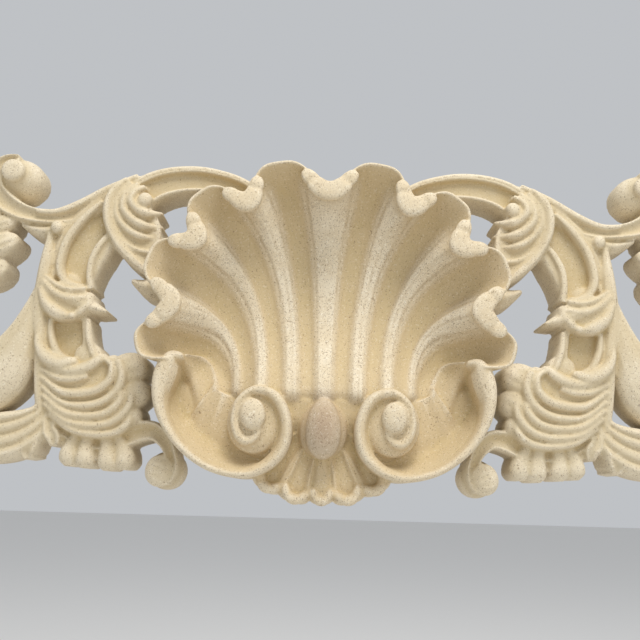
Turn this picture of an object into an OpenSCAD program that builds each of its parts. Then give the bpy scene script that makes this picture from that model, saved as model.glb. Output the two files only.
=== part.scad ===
// Rococo pediment section: a scallop shell between two pierced acanthus wings, cast in one piece.
// Each carved form is worked out lying face up: X along the length, Y up the wall, Z off the back.
// The last step stands it upright, with its flat back on the plane Y = 0 and its face towards -Y.

/* [Overall] */
// Finished length, end scroll to end scroll; the wings' outer leaves are drawn out or in to reach it
finished_length = 896; // [820:1:1100]

/* [Shell] */
// Half width of the shell's rim, at the middle of its scallops
rim_half_width = 168; // [140:1:185]
// Rise of the rim above its widest line
rim_rise = 150; // [120:1:180]
// Fall of the rim below its widest line
rim_fall = 95; // [80:1:115]
// Depth of the scallops, from the mean rim to a lobe or a lip
scallop = 12; // [6:0.5:16]
// Height of the rim off the back
rim_height = 88; // [70:1:110]
// Height of the bowl's lowest line off the back
bowl_height = 38; // [25:1:60]
// Height of the hinge, where the flutes start
hinge_height = 72; // [60:1:85]
// Rise of a rib above the flutes beside it
rib_rise = 5; // [2:0.5:8]
// Radius of the rolled lips between the lobes
lip_radius = 8.5; // [5:0.5:11]
// How far the back is drawn in from the rim, as a share of the rim
back_draft = 0.1; // [0:0.01:0.2]

/* [Ears and volutes] */
// Height of the ears' rolled rim off the back
ear_height = 86; // [70:1:100]
// Height of the hollow inside an ear
ear_floor = 50; // [35:1:65]
// Half width of the snail-like knob in a volute
knob_half_width = 17; // [10:0.5:20]
// Half height of that knob
knob_half_height = 25; // [16:0.5:30]

/* [Boss and palmette] */
// Half width of the egg-shaped boss
boss_half_width = 16; // [10:0.5:22]
// Half height of the boss
boss_half_height = 29; // [20:0.5:36]
// Height of the boss off the back
boss_height = 90; // [75:1:105]
// Length of a petal, from the boss to its tip
petal_length = 62; // [45:1:75]
// Half width of a petal near its tip
petal_half_width = 14; // [9:0.5:17]
// Height of the petals off the back
petal_height = 62; // [50:1:70]
// Angle between neighbouring petals
petal_spread = 21; // [17:1:25]

/* [Wings] */
// Height of the channelled bands off the back
band_height = 45; // [35:1:60]
// Depth of the sunk panel in a band
panel_sink = 7; // [3:0.5:12]
// How far the leaves stand above the bands
leaf_rise = 10; // [4:0.5:16]
// Depth of the grooves between a leaf's fingers
finger_groove = 7; // [3:0.5:10]
// Fingers in the leaf that clasps the arch
clasp_fingers = 4; // [3:1:5]
// Fingers in the large leaf under the trunk
spray_fingers = 5; // [4:1:6]
// Radius of the ball in the upper scroll
upper_ball = 12; // [8:0.5:14]
// Radius of the ball in the lower scroll
lower_ball = 13; // [9:0.5:15]
// Radius of the ball in the end scroll
end_ball = 11; // [7:0.5:13]

/* [Hidden] */
$fn = 20;

stone = [0.80, 0.75, 0.63];
pale_stone = [0.88, 0.85, 0.76];
flutes = 8;                 // flutes across the shell, four a side
half_flutes = flutes / 2;
rim_power = 2.3;            // 2 is an ellipse, more is squarer at the shoulders
rim_centre = -10;           // the rim's widest line
hinge_y = -72;              // the line that the flutes start from
bowl_share = 0.45;          // where along a flute the bowl is lowest
volute_x = 70;
volute_y = -104;
boss_y = -109;
throat_height = 52;         // the body behind hinge, boss and volutes
leaf_height = band_height + leaf_rise;
under_cut = 4;              // how far every form runs on below the back plane before the flat cut
cut_span = 2400;            // side of the block that makes the flat cut, well past any finished length
wing_fixed = 285;           // where the wings' outer leaves begin
wing_end = 448;             // end of the wings before they are drawn out to the finished length
ear_start = 2.3;            // flute number where the hinge starts to fall to the hollow of the ear
lobe_breadth = 1.7;         // 1 makes lobes and lips alike, more makes the lobes broader

// ---- Rules for curves ----

// Catmull-Rom curve through rows of any length, steps points to each span
function clamp_row(rows, i) = rows[max(0, min(len(rows) - 1, i))];
function spline_at(a, b, c, d, t) =
    0.5 * (2 * b + (c - a) * t + (2 * a - 5 * b + 4 * c - d) * t * t + (3 * b - 3 * c + d - a) * t * t * t);
function spline(rows, steps) = [
    for (i = [0 : len(rows) - 2], k = [0 : steps - 1])
        spline_at(clamp_row(rows, i - 1), rows[i], rows[i + 1], clamp_row(rows, i + 2), k / steps),
    rows[len(rows) - 1]
];
function blend(a, b, t) = a + (b - a) * t;
function unit(v) = v / max(norm(v), 0.001);
function flat(p) = [p[0], p[1]];
// Place along the length, drawn out beyond the start of the outer leaves
function out(x) =
    x < wing_fixed
        ? x
        : wing_fixed + (x - wing_fixed) * (finished_length / 2 - wing_fixed) / (wing_end - wing_fixed);
function drawn_out(rows) = [for (r = rows) [out(r[0]), r[1], r[2], r[3]]];

// ---- Solids from a grid of front points ----

// Closes a grid of front points [x, y, height] with walls down to just under the back plane, where
// the whole cast is cut flat; drawn_in pulls the foot of the walls in
module relief(grid, drawn_in = 0, centre = [0, 0]) {
    rows = len(grid);
    cols = len(grid[0]);
    size = rows * cols;
    front = [for (r = grid, p = r) [p[0], p[1], max(p[2], 1)]];
    back = [for (r = grid, p = r) let (q = blend(flat(p), centre, drawn_in)) [q[0], q[1], -under_cut]];
    edge = concat(
        [for (j = [0 : cols - 2]) j],
        [for (i = [0 : rows - 2]) i * cols + cols - 1],
        [for (j = [cols - 1 : -1 : 1]) (rows - 1) * cols + j],
        [for (i = [rows - 1 : -1 : 1]) i * cols]
    );
    cells = [
        for (i = [0 : rows - 2], j = [0 : cols - 2])
            let (a = i * cols + j, b = a + 1, c = a + cols + 1, d = a + cols)
                each [[a, b, c], [a, c, d]]
    ];
    under = [for (f = cells) [f[2] + size, f[1] + size, f[0] + size]];
    walls = [
        for (k = [0 : len(edge) - 1])
            let (a = edge[k], b = edge[(k + 1) % len(edge)])
                each [[b, a, a + size], [b, a + size, b + size]]
    ];
    polyhedron(concat(front, back), concat(cells, under, walls), convexity = 8);
}

// Cross-sections of a band: stations [place across from -1 to 1, share of the full height]
function channel() =
    let (sunk = 1 - panel_sink / band_height)
        [[-1, 0.93], [-0.8, 1], [-0.62, sunk], [0.62, sunk], [0.8, 1], [1, 0.93]];
round_back = [[-1, 0.72], [-0.5, 0.96], [0.5, 0.96], [1, 0.72]];
hollow = [[-1, 0.97], [0, 0.84], [1, 0.97]];
ridged = [[-1, 0.76], [0, 1], [1, 0.76]];

// A band or leaf along rows of [x, y, half width, height], with one of those cross-sections
module band(rows, section = round_back, steps = 2) {
    path = spline(rows, steps);
    last = len(path) - 1;
    relief([
        for (i = [0 : last])
            let (
                along = unit(flat(path[min(i + 1, last)]) - flat(path[max(i - 1, 0)])),
                side = [-along[1], along[0]]
            )
            [
                for (s = section)
                    let (p = flat(path[i]) + side * max(path[i][2], 0.6) * s[0])
                    [p[0], p[1], path[i][3] * s[1]]
            ]
    ]);
}

// A domed lobe: a round wall with a low dome on it
module lobe(x, y, half_x, half_y, height, turn = 0, sides = 9) {
    dome = 0.3 * height;
    translate([x, y, -under_cut]) rotate(turn) scale([half_x, half_y, 1])
        rotate_extrude($fn = sides) polygon(concat([[0, 0], [1, 0]], [
            for (a = [0, 50, 90])
                [cos(a), height + under_cut - dome * (1 - sin(a))]
        ]));
}

// A leaf whose fingers fan out between two rows of points; heights rise to the middle of each finger
module fan(first, last, fingers, height, steps = 2) {
    a = spline(first, steps);
    b = spline(last, steps);
    end = len(a) - 1;
    relief([
        for (i = [0 : end])
            let (reach = unit(a[i] + b[i] - a[max(i - 1, 0)] - b[max(i - 1, 0)]))
            [
                for (k = [0 : 2 * fingers])
                    let (
                        ridge = k % 2,
                        tip = i == end ? (ridge == 1 ? 5 : -2) : 0,
                        p = blend(a[i], b[i], k / (2 * fingers)) + reach * tip
                    )
                    [p[0], p[1], height - (ridge == 1 ? 0 : finger_groove) - (i == end ? 6 : 0)]
            ]
    ]);
}

// ---- Shell ----

function sign_power(v, p) = sign(v) * pow(abs(v), p);
// Angle from the top of the rim at flute number u, which is whole at a lip and half at a lobe
function rim_angle(u) = 27.5 * u + 0.35 * u * abs(u);
function mean_rim(u) =
    let (a = rim_angle(u), e = 2 / rim_power, c = sign_power(cos(a), e))
        [rim_half_width * sign_power(sin(a), e), rim_centre + (c > 0 ? rim_rise : rim_fall) * c];
function rim_out(u) =
    let (d = unit(mean_rim(u + 0.02) - mean_rim(u - 0.02)))
        [-d[1], d[0]];
// The scalloped rim: in at the lips, out at the broader lobes
function wave(u) = 2 * pow(max(0.5 + 0.5 * cos(360 * u), 0), lobe_breadth) - 1;
function rim(u) = mean_rim(u) - rim_out(u) * scallop * wave(u);
function hinge(u) = [33.5 * u - 1.6 * u * abs(u), hinge_y];
// A flute leaves the hinge straight up and bends outwards, like the jets of a fountain
function flute(u, v) =
    let (
        start = [0, 250 - 12.5 * u * u],
        end = [190 * sin(38 * u), 100 * cos(33 * u)],
        v2 = v * v,
        v3 = v * v * v
    )
    hinge(u) * (2 * v3 - 3 * v2 + 1) + start * (v3 - 2 * v2 + v)
        + rim(u) * (3 * v2 - 2 * v3) + end * (v3 - v2);
// The hinge falls at both sides, so that the last flutes run on into the ears
function hinge_top(u) = blend(hinge_height, ear_floor, min(max(abs(u) - ear_start, 0), 1));
function bowl(u, v) =
    v < bowl_share
        ? bowl_height + (hinge_top(u) - bowl_height) * pow(1 - v / bowl_share, 2)
        : bowl_height + (rim_height - bowl_height) * pow((v - bowl_share) / (1 - bowl_share), 2);
function rib(u, v) = rib_rise * (cos(360 * u) + 0.4) * sin(180 * min(v + 0.15, 1));

module fluted_bowl() {
    columns = 6 * flutes;
    rows = 6;
    relief([
        for (i = [0 : columns])
            let (u = -half_flutes + flutes * i / columns)
            [
                for (j = [0 : rows])
                    let (v = j / rows, p = flute(u, v))
                    [p[0], p[1], bowl(u, v) + rib(u, v)]
            ]
    ], back_draft, [0, rim_centre]);
}

// The rolled lip at rib number u: a crescent that hangs between two lobes
module lip(u) {
    middle = mean_rim(u) - rim_out(u) * scallop;
    across = [rim_out(u)[1], -rim_out(u)[0]];
    rows = [
        for (k = [-3 : 3])
            let (
                a = 8.3 * k,
                p = middle + across * a + rim_out(u) * (0.024 * a * a - 1)
            )
            [p[0], p[1], lip_radius * (1 - 0.08 * k * k), rim_height + 8 - 0.6 * k * k]
    ];
    band(rows, ridged, steps = 1);
}

module shell() {
    color(stone) {
        fluted_bowl();
        for (u = [-half_flutes + 1 : half_flutes - 1]) lip(u);
    }
}

// ---- Ears: the rim runs on, round each ear and into its volute ----

ear_rows = [
    [136, -44, 3, 0.9], [146, -47, 8, 1], [152, -62, 10.5, 1.02], [155, -84, 7.5, 1.02], [149, -106, 5.5, 1],
    [133, -128, 5, 0.98], [108, -146, 4.5, 0.96], [79, -152.5, 5, 0.94], [56, -146.5, 6, 0.94],
    [40, -130, 6.8, 0.96], [36, -107, 6.8, 0.97], [45, -84, 6.8, 0.97], [63, -75.5, 6, 0.95],
    [79, -86, 5.5, 0.93], [86, -104, 4.8, 0.92], [81, -122, 4, 0.9]
];
outer_ear_rows = 9;         // the rows before the rim closes round the volute

module ear() {
    color(stone) {
        band([for (r = ear_rows) [r[0], r[1], r[2], r[3] * ear_height]], ridged, steps = 1);
        edge = [for (i = [0 : outer_ear_rows - 1]) flat(ear_rows[i])];
        relief([
            for (i = [0 : len(edge) - 1])
                let (inner = blend([112, -58], [volute_x, volute_y], i / (len(edge) - 1)))
                [
                    for (k = [0 : 4])
                        let (t = 1 - k / 4, p = blend(edge[i], inner, t))
                        [p[0], p[1], blend(ear_floor, 0.9 * ear_height, pow(abs(1 - 1.35 * t), 2.5))]
                ]
        ]);
        lobe(volute_x, volute_y, knob_half_width, knob_half_height, ear_height);
    }
}

// ---- Boss and palmette ----

module boss() {
    color(stone) lobe(0, boss_y, boss_half_width, boss_half_height, boss_height, sides = 16);
}

// The body that the hinge, the volutes and the petals spring from
module throat() {
    half = [[0, -60], [110, -60], [150, -48], [150, -84], [112, -120], [64, -150], [34, -165], [0, -167]];
    mirrored = [for (i = [len(half) - 2 : -1 : 1]) [-half[i][0], half[i][1]]];
    color(stone) translate([0, 0, -under_cut])
        linear_extrude(throat_height + under_cut) polygon(concat(half, mirrored));
}

module palmette() {
    color(pale_stone)
        for (k = [-2 : 2]) {
            way = [sin(petal_spread * k), -cos(petal_spread * k)];
            root = [8 * k, boss_y - 9 + 1.5 * k * k];
            reach = petal_length * (1 + 0.055 * abs(k));
            band([
                for (s = [0, 0.35, 0.7, 0.92, 1])
                    let (p = root + way * reach * s)
                    [p[0], p[1], petal_half_width * min(0.5 + s, 1) * (s == 1 ? 0.6 : 1), petal_height]
            ], hollow, steps = 1);
        }
}

// ---- Wings, drawn for +X and mirrored ----

// Channelled band that arches out from behind the shell
module arch() {
    color(pale_stone) band([
        [60, 116, 12, band_height - 6], [90, 137, 13, band_height - 3], [120, 145, 14, band_height],
        [150, 147, 15, band_height], [180, 139, 16, band_height], [205, 122, 18, band_height]
    ], channel());
}

// The trunk: the same band, wider, falling to the root of the large leaf
module trunk() {
    color(pale_stone) band([
        [210, 120, 20, band_height + 2], [232, 100, 27, band_height + 1], [250, 76, 29, band_height],
        [260, 51, 27, band_height], [266, 25, 28, band_height], [264, 0, 27, band_height],
        [258, -30, 26, band_height], [256, -60, 25, band_height - 1], [262, -90, 20, band_height - 3],
        [268, -110, 12, band_height - 5]
    ], channel(), steps = 1);
}

// Branch from the shoulder to the upper scroll, closing on its ball
module upper_scroll() {
    color(pale_stone) {
        band(drawn_out([
            [196, 140, 10, band_height - 5], [228, 121, 13, band_height - 4],
            [255, 104, 12, band_height - 2], [283, 96, 12, band_height], [302, 97, 11.5, band_height],
            [320, 104, 11.5, band_height], [335, 116, 11, band_height], [345, 132, 10, band_height],
            [346, 148, 8, band_height + 1], [338, 158, 5, band_height + 2], [328, 161, 2.5, band_height + 3]
        ]), channel(), steps = 1);
        lobe(out(327), 146, 16, 16, band_height - 9);
        lobe(out(327), 149, upper_ball, upper_ball, leaf_height);
        band([
            [262, 94, 6, band_height], [276, 88, 10, band_height], [292, 86, 9, band_height - 2],
            [304, 88, 5, band_height - 4], [313, 91, 1, band_height - 6]
        ], ridged);
        lobe(278, 90, 6, 6, leaf_height - 4);
    }
}

// Leaf that hangs from the upper scroll, with a round lobe at each fold
module hanging_leaf() {
    color(pale_stone) {
        band(drawn_out([
            [350, 112, 9, band_height - 4], [358, 84, 16, band_height - 2], [356, 54, 17, band_height - 2],
            [346, 32, 9, band_height - 6]
        ]), hollow);
        for (k = [0 : 2])
            lobe(out(339 + 5 * k * (k - 1)), 92 - 24 * k, 15 + 2 * k * (2 - k), 10 + 2 * k, band_height + 2, -35);
    }
}

// Leaf that clasps the arch: fingers fan out from the shoulder and curl towards the shell
module clasp_leaf() {
    color(pale_stone) {
        fan(
            [[207, 141], [200, 128], [188, 116], [173, 110]],
            [[222, 131], [226, 105], [214, 76], [190, 50]],
            clasp_fingers, leaf_height
        );
        lobe(187, 121, 8, 12, leaf_height, 20);
    }
}

// Sheath of two pointed leaves round the trunk, and the hooked lobe below it
module collar() {
    color(pale_stone) {
        band([
            [288, 24, 6, band_height], [273, 8, 10, leaf_height], [260, 0, 8, leaf_height],
            [252, -3, 2, band_height]
        ], ridged);
        band([
            [266, 24, 6, band_height], [247, 14, 10, leaf_height], [231, 7, 7, leaf_height - 3],
            [218, 3, 1, band_height]
        ], ridged);
        band([
            [286, -26, 4, band_height], [279, -42, 7, leaf_height - 2], [264, -52, 8, leaf_height],
            [249, -49, 5, leaf_height]
        ], ridged);
    }
}

// Large leaf: fingers sweep from the trunk towards the shell and end in rolled lobes
module spray() {
    color(pale_stone) {
        fan(
            [[282, -36], [262, -48], [240, -50], [220, -44], [206, -38]],
            [[268, -98], [250, -114], [224, -123], [200, -120], [184, -110]],
            spray_fingers, leaf_height, steps = 1
        );
        for (p = [[201, -54, 21, 17], [187, -77, 16, 14], [187, -100, 12, 11]])
            lobe(p[0], p[1], p[2], p[3], leaf_height + 4, -30);
    }
}

// Stem that carries on below the large leaf and closes on the lower scroll
module lower_scroll() {
    color(pale_stone) {
        band([
            [262, -108, 10, band_height], [240, -122, 8, band_height], [215, -129, 8, band_height],
            [195, -124, 9, band_height + 1], [178, -115, 10, band_height + 2], [162, -115, 9, band_height + 2],
            [150, -126, 5, band_height + 2], [144, -139, 5, band_height + 2], [144, -152, 5, band_height + 2],
            [151, -163, 4, band_height + 1]
        ], hollow, steps = 1);
        lobe(157, -153, lower_ball, lower_ball + 1, leaf_height);
    }
}

// Fingers that hang below the stem, and the two leaf tips beside them
module lower_lobes() {
    color(pale_stone) {
        for (k = [0 : 3])
            lobe(190 + 20 * k, -141, 9.5, 10, band_height + 5);
        fan(
            [[192, -118], [184, -130], [181, -142]], [[246, -118], [256, -130], [259, -142]],
            4, band_height, steps = 1
        );
        for (tip = [[262, -129], [284, -142]])
            band([
                [268, -100, 7, band_height - 4], [(268 + tip[0]) / 2 + 2, -116, 7, band_height - 2],
                [tip[0], tip[1] + 6, 6, band_height - 1], [tip[0], tip[1], 3, band_height - 3]
            ], ridged, steps = 1);
    }
}

// Broad outer leaf that flares off the trunk
module outer_leaf() {
    color(pale_stone) band(drawn_out([
        [284, 35, 8, band_height - 8], [294, 5, 12, band_height - 4], [305, -28, 20, band_height + 1],
        [323, -60, 29, band_height + 1], [352, -80, 27, band_height], [384, -88, 20, band_height - 4],
        [412, -88, 10, band_height - 8], [430, -84, 2, band_height - 12]
    ]), steps = 1);
}

// Lower leaf that runs on to the end scroll
module end_scroll() {
    color(pale_stone) {
        band(drawn_out([
            [268, -88, 12, band_height], [281, -107, 17, band_height], [303, -119, 22, band_height],
            [333, -124, 23, band_height], [366, -120, 20, band_height - 2], [398, -107, 16, band_height - 4],
            [424, -87, 13, band_height - 6], [437, -64, 11, band_height - 7], [433, -44, 8, band_height - 7],
            [418, -37, 5, band_height - 7], [407, -45, 3, band_height - 7]
        ]), hollow, steps = 1);
        lobe(out(418), -54, end_ball, end_ball, band_height);
        lobe(out(418), -54, end_ball + 7, end_ball + 7, band_height - 14);
    }
}

// Leaf tip that peeps out from behind the shell
module backing_tip() {
    color(pale_stone) band([
        [rim_half_width - 12, 30, 12, band_height], [rim_half_width + 18, 32, 9, band_height + 2],
        [rim_half_width + 30, 36, 2, band_height - 1]
    ], ridged);
}

module wing() {
    arch();
    trunk();
    upper_scroll();
    hanging_leaf();
    clasp_leaf();
    collar();
    spray();
    lower_scroll();
    lower_lobes();
    outer_leaf();
    end_scroll();
    backing_tip();
}

// ---- The one cast piece ----

module pediment_section() {
    resize([finished_length, 0, 0])
        rotate([90, 0, 0]) difference() {
            union() {
                shell();
                throat();
                boss();
                palmette();
                for (side = [0, 1]) mirror([side, 0, 0]) {
                    ear();
                    wing();
                }
            }
            translate([0, 0, -2 * under_cut]) cube([cut_span, cut_span, 4 * under_cut], center = true);
        }
}

pediment_section();
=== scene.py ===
"""Rococo pediment section: a scallop shell between two pierced acanthus wings, cast in one piece.

Every carved form is worked out lying face up, in millimetres: x along the length, y up the wall and
h off the flat back. The forms are closed bodies that overlap. They are cast into one skin, which is
stood upright with its back on the plane Y = 0 and its face towards -Y.
"""

import math

import bpy
import numpy as np
from mathutils import Matrix, Vector


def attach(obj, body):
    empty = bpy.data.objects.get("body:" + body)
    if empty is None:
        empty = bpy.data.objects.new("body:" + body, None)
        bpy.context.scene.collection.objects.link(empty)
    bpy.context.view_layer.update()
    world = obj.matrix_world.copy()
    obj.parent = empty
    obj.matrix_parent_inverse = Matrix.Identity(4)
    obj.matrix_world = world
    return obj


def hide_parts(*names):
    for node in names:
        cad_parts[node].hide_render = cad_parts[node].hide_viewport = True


bl_info = {
    "name": "Pediment section",
    "version": (1, 0, 0),
    "blender": (4, 5, 0),
    "location": "3D View > Sidebar > Pediment",
    "description": "Builds a cast stone pediment section with a scallop shell and acanthus wings",
    "category": "Object",
}

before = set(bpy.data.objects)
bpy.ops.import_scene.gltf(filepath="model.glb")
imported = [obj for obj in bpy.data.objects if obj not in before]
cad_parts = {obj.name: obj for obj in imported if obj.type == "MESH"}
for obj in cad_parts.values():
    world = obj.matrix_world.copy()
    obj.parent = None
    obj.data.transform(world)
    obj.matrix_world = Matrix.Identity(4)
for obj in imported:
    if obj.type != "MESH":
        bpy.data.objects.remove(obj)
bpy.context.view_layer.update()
MM = 0.001
NODE = "pediment_section"
FLUTES = 8
LOOSE = {}


# ---- Curves and bodies, as whole arrays ----


def smooth(x):
    """Eased step: 0 below 0, 1 above 1, and three x squared less two x cubed between."""
    x = np.clip(x, 0.0, 1.0)
    return x * x * (3.0 - 2.0 * x)


def bump(x, width):
    """Bell curve: e to the power of minus (x over width) squared."""
    return np.exp(-((x / width) ** 2))


def curve(rows, count):
    """Catmull-Rom curve through the rows: a cubic between each two rows, whose slope at a row is
    half the step from the row before it to the row after it."""
    rows = np.asarray(rows, float)
    t = np.linspace(0.0, len(rows) - 1.0, count)
    i = np.minimum(t.astype(int), len(rows) - 2)
    f = (t - i)[:, None]
    a, b, c, d = (rows[np.clip(i + k, 0, len(rows) - 1)] for k in (-1, 0, 1, 2))
    return 0.5 * (2 * b + (c - a) * f + (2 * a - 5 * b + 4 * c - d) * f**2 + (3 * b - 3 * c + d - a) * f**3)


def left_of(path):
    """Unit vectors to the left of a path, square to the step from the point before to the next."""
    step = np.gradient(path[:, :2], axis=0)
    step /= np.maximum(np.linalg.norm(step, axis=1, keepdims=True), 1e-6)
    return np.stack([-step[:, 1], step[:, 0]], axis=1)


def body(front, drawn_in=0.0, centre=(0.0, 0.0)):
    """Closed body under a grid of front points [x, y, h]: its foot is the same grid laid on the back
    plane, drawn in towards a centre by a share, and walls join the two along the grid's edge."""
    rows, cols = front.shape[:2]
    foot = front.copy()
    foot[..., :2] += (np.asarray(centre) - foot[..., :2]) * drawn_in
    foot[..., 2] = 0.0
    points = np.concatenate([front.reshape(-1, 3), foot.reshape(-1, 3)])
    index = np.arange(rows * cols).reshape(rows, cols)
    cells = np.stack([index[:-1, :-1], index[1:, :-1], index[1:, 1:], index[:-1, 1:]], -1).reshape(-1, 4)
    edge = np.concatenate([index[0, :-1], index[:-1, -1], index[-1, :0:-1], index[:0:-1, 0]])
    after = np.roll(edge, -1)
    under = rows * cols
    walls = np.stack([edge, after, after + under, edge + under], axis=1)
    return points, np.concatenate([cells, cells[:, ::-1] + under, walls])


def band(rows, section, across=25, density=0.7):
    """Body along a path of rows [x, y, half width, height]: at each point of the path's curve the
    section [place across from -1 to 1, millimetres above or below the height] is laid square to it."""
    rows = np.asarray(rows, float)
    length = np.linalg.norm(np.diff(rows[:, :2], axis=0), axis=1).sum()
    path = curve(rows, max(12, int(length * density)))
    side = left_of(path)
    t = np.linspace(-1.0, 1.0, across)
    section = np.asarray(section, float)
    rise = np.interp(t, section[:, 0], section[:, 1])
    half = np.maximum(path[:, 2], 0.5)[:, None]
    front = np.empty((len(path), across, 3))
    front[..., 0] = path[:, 0:1] + side[:, 0:1] * half * t
    front[..., 1] = path[:, 1:2] + side[:, 1:2] * half * t
    front[..., 2] = np.maximum(path[:, 3:4] + rise * np.clip(half / 6.0, 0.35, 1.0), 1.0)
    return body(front)


def tube(path, half_width, half_height, power=2.4, around=28):
    """Closed roll along a path [x, y, h]: its section is a superellipse, whose two half axes times
    the cosine and sine of the angle are raised to two over the power, and it rounds off at both ends."""
    along = np.linspace(-1.0, 1.0, len(path))
    ends = np.sqrt(np.clip(1.0 - np.abs(along) ** 14, 0.0, 1.0))[:, None]
    a = np.linspace(0.0, 2.0 * np.pi, around, endpoint=False)
    e = 2.0 / power
    across = np.sign(np.cos(a)) * np.abs(np.cos(a)) ** e
    up = np.sign(np.sin(a)) * np.abs(np.sin(a)) ** e
    side = left_of(path)
    points = np.empty((len(path), around, 3))
    points[..., 0] = path[:, 0:1] + side[:, 0:1] * half_width[:, None] * ends * across
    points[..., 1] = path[:, 1:2] + side[:, 1:2] * half_width[:, None] * ends * across
    points[..., 2] = path[:, 2:3] + half_height[:, None] * ends * up
    index = np.arange(len(path) * around).reshape(len(path), around)
    turned = np.roll(index, -1, axis=1)
    cells = np.stack([index[:-1], index[1:], turned[1:], turned[:-1]], -1).reshape(-1, 4)
    return points.reshape(-1, 3), cells


def disc(count=33):
    """Points of a round disc from a square grid: each coordinate times the root of one less half the
    other's square, so the square's edge lands on the circle."""
    a, b = np.meshgrid(np.linspace(-1, 1, count), np.linspace(-1, 1, count), indexing="ij")
    return a * np.sqrt(1 - b * b / 2), b * np.sqrt(1 - a * a / 2)


def lump(x, y, half_x, half_y, top, drop=10.0, turn=0.0, power=2.0, grooves=0.0, count=33):
    """Round lump: height is the top less the drop times one less the root of one less the radius to
    a power; grooves is the depth of shallow lines that run along its longer axis."""
    p, q = disc(count)
    r = np.clip(np.hypot(p, q), 0.0, 1.0)
    h = top - drop * (1.0 - np.sqrt(np.clip(1.0 - r**power, 0.0, 1.0)))
    h -= grooves * np.abs(np.sin(q * np.pi * 1.5)) ** 6 * (1 - r**4)
    c, s = math.cos(math.radians(turn)), math.sin(math.radians(turn))
    px, qy = p * half_x, q * half_y
    return body(np.stack([x + c * px - s * qy, y + s * px + c * qy, h], axis=-1))


def sheet(first, last, heights, across=31, along=60):
    """Leaf body between two curves: straight lines across from one to the other, whose heights are
    read from stations [share of the way, height]."""
    a, b = curve(first, along), curve(last, along)
    t = np.linspace(0.0, 1.0, across)[None, :, None]
    flat = a[:, None, :2] + (b - a)[:, None, :2] * t
    heights = np.asarray(heights, float)
    h = np.interp(t[0, :, 0], heights[:, 0], heights[:, 1])
    return body(np.concatenate([flat, np.broadcast_to(h[None, :, None], flat.shape[:2] + (1,))], axis=-1))


def mirrored(bodies):
    """The same bodies with x reversed, and each face turned so that it still points outwards."""
    return [(p * np.array([-1.0, 1.0, 1.0]), f[:, ::-1]) for p, f in bodies]


# Sections across a band: [place across from -1 to 1, millimetres above or below its height]
ROUND = [[-1, -8], [-0.85, -4], [-0.5, -0.9], [0, 0], [0.5, -0.9], [0.85, -4], [1, -8]]
FINGER = [[-1, -10], [-0.8, -5.5], [-0.45, -1.2], [0, 0], [0.35, -0.8], [0.5, -2.0], [0.62, -1.6],
          [0.85, -5.5], [1, -10]]
BEAD = [[-1, -6], [-0.6, -1], [0, 0], [0.6, -1], [1, -6]]
SOFT = [[-1, -9], [-0.7, -4.6], [-0.35, -1.2], [0, 0], [0.35, -1.2], [0.7, -4.6], [1, -9]]
TWO_RIDGED = [[-1, -7], [-0.8, -1.5], [-0.6, 0], [-0.35, -1.6], [0, -3.2], [0.35, -1.6], [0.6, 0],
              [0.8, -1.5], [1, -7]]


# ---- Shell ----


def signed_power(v, p):
    """Size of v to the power p, with the sign of v."""
    return np.sign(v) * np.abs(v) ** p


def mean_rim(u, shell):
    """Middle line of the rim at flute number u: a superellipse, at the angle that the flute reaches."""
    a = np.radians(27.5 * u + 0.35 * u * np.abs(u))
    c = signed_power(np.cos(a), 2 / 2.3)
    reach = np.where(c > 0, shell.rim_rise, shell.rim_fall) / MM
    return np.stack([shell.rim_half_width / MM * signed_power(np.sin(a), 2 / 2.3), reach * c - 10.0], -1)


def rim_out(u, shell):
    """Outward unit vectors, square to the mean rim."""
    d = mean_rim(u + 0.02, shell) - mean_rim(u - 0.02, shell)
    d /= np.linalg.norm(d, axis=-1, keepdims=True)
    return np.stack([-d[..., 1], d[..., 0]], -1)


def rim(u, shell):
    """The scalloped rim: the mean rim, in at the whole numbers and out between. The step in or out is
    twice a power of the raised cosine, less one, so that the lobes are broader than the lips."""
    wave = 2 * np.clip(0.5 + 0.5 * np.cos(2 * np.pi * u), 0, 1)[..., None] ** 2.0 - 1
    return mean_rim(u, shell) - rim_out(u, shell) * (shell.scallop / MM) * wave


def flutes(u, v, shell):
    """Place on the shell at flute number u and share v of the way from hinge to rim: a Hermite curve
    that leaves the hinge straight up and bends outwards like the jets of a fountain."""
    zero = np.zeros_like(u)
    hinge = np.stack([33.5 * u - 1.6 * u * np.abs(u), zero - 72.0], -1)
    start = np.stack([zero, 250 - 12.5 * u * u], -1)
    end = np.stack([190 * np.sin(np.radians(38 * u)), 100 * np.cos(np.radians(33 * u))], -1)
    v = v[..., None]
    return (hinge * (2 * v**3 - 3 * v**2 + 1) + start * (v**3 - 2 * v**2 + v)
            + rim(u, shell) * (3 * v**2 - 2 * v**3) + end * (v**3 - v**2))


def rib_edge(u, v):
    """Distance from a rib's edge in flute numbers: below nought on the rib, above it in the flute. The
    middle rib is the broadest, and all of them spread a little towards the rim."""
    n = np.round(u)
    half = 0.195 - 0.03 * np.minimum(np.abs(n), 3) + 0.05 * smooth((v - 0.45) / 0.4)
    return np.abs(u - n) - half


def rib_top(u, v):
    """One on a rib's flat top and nought in the flute, with a narrow ledge on the rib's flank."""
    w = rib_edge(u, v)
    return 1.0 - 0.35 * smooth(w / 0.03) - 0.65 * smooth((w - 0.06) / 0.13)


def rib_line(u, v):
    """Fine lines cut beside a rib's top and beside its ledge, as two narrow bells; an outer rib also
    has one along its top."""
    w = rib_edge(u, v)
    top = bump(u - np.round(u) - 0.02, 0.016) * smooth((np.abs(u) - 0.6) / 0.3) * 0.7
    return np.maximum(np.maximum(bump(w - 0.012, 0.02), 0.7 * bump(w - 0.085, 0.02)), top)


def rib_fade(v):
    """One along most of a rib, easing to nought just above the boss and under the lips."""
    return smooth((v + 0.062) / 0.035) * (1 - smooth((v - 0.84) / 0.12))


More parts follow.
